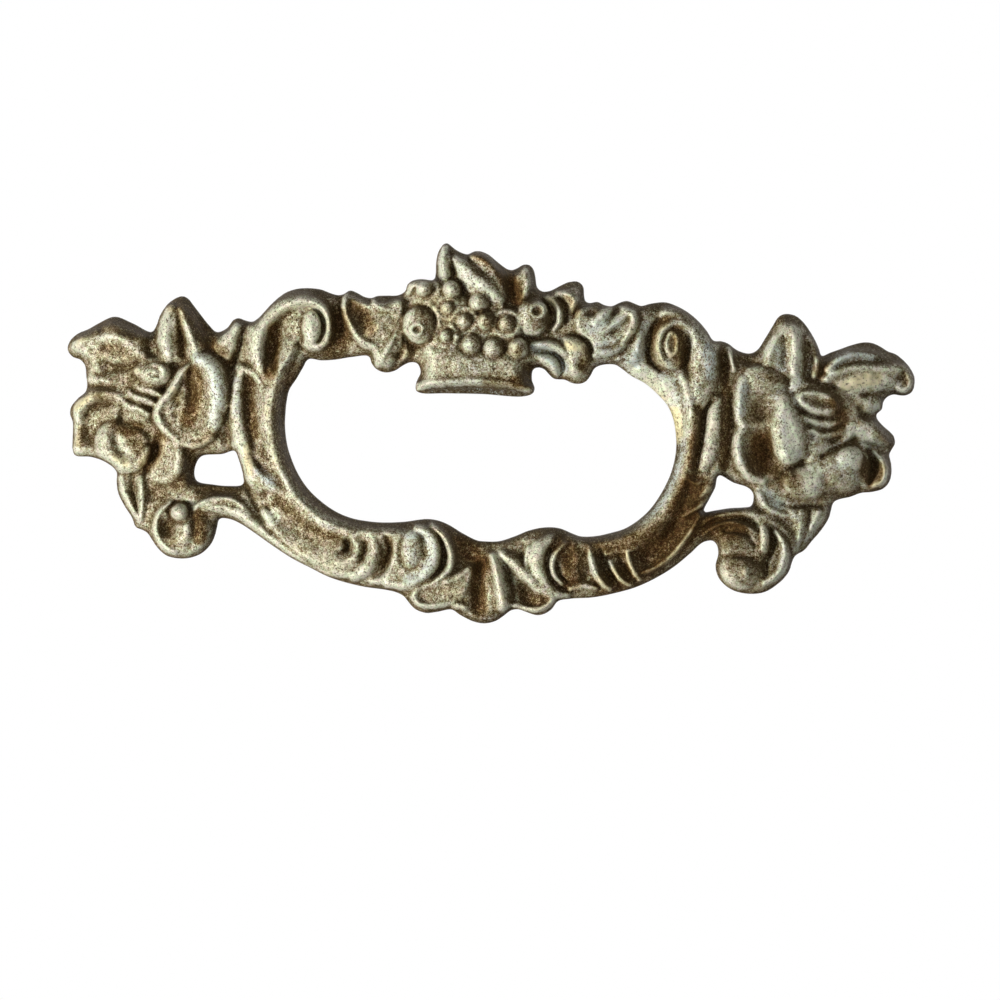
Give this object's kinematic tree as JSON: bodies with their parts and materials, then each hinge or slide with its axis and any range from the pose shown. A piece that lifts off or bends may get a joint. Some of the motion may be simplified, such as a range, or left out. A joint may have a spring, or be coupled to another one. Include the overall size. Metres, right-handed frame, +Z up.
{
  "type": "drawer pull",
  "caption": "Ornamental cast brass drawer pull with a basket of fruit, flowers, C-scrolls and a fluted shell round a hand opening, on two tapped posts.",
  "frame": {"origin": "midway between the two posts, on the drawer face that their ends sit on", "axes": "+X across the drawer to the viewer's right, +Y into the drawer, +Z up as the pull hangs; the ornament faces -Y"},
  "size_m": [0.1157, 0.0251, 0.0512],
  "materials": {
    "aged_brass": "old cast brass, dull and pitted, with dark recesses and pale worn ridges"
  },
  "bodies": {
    "root": {"pull_casting": "aged_brass"}
  },
  "joints": []
}
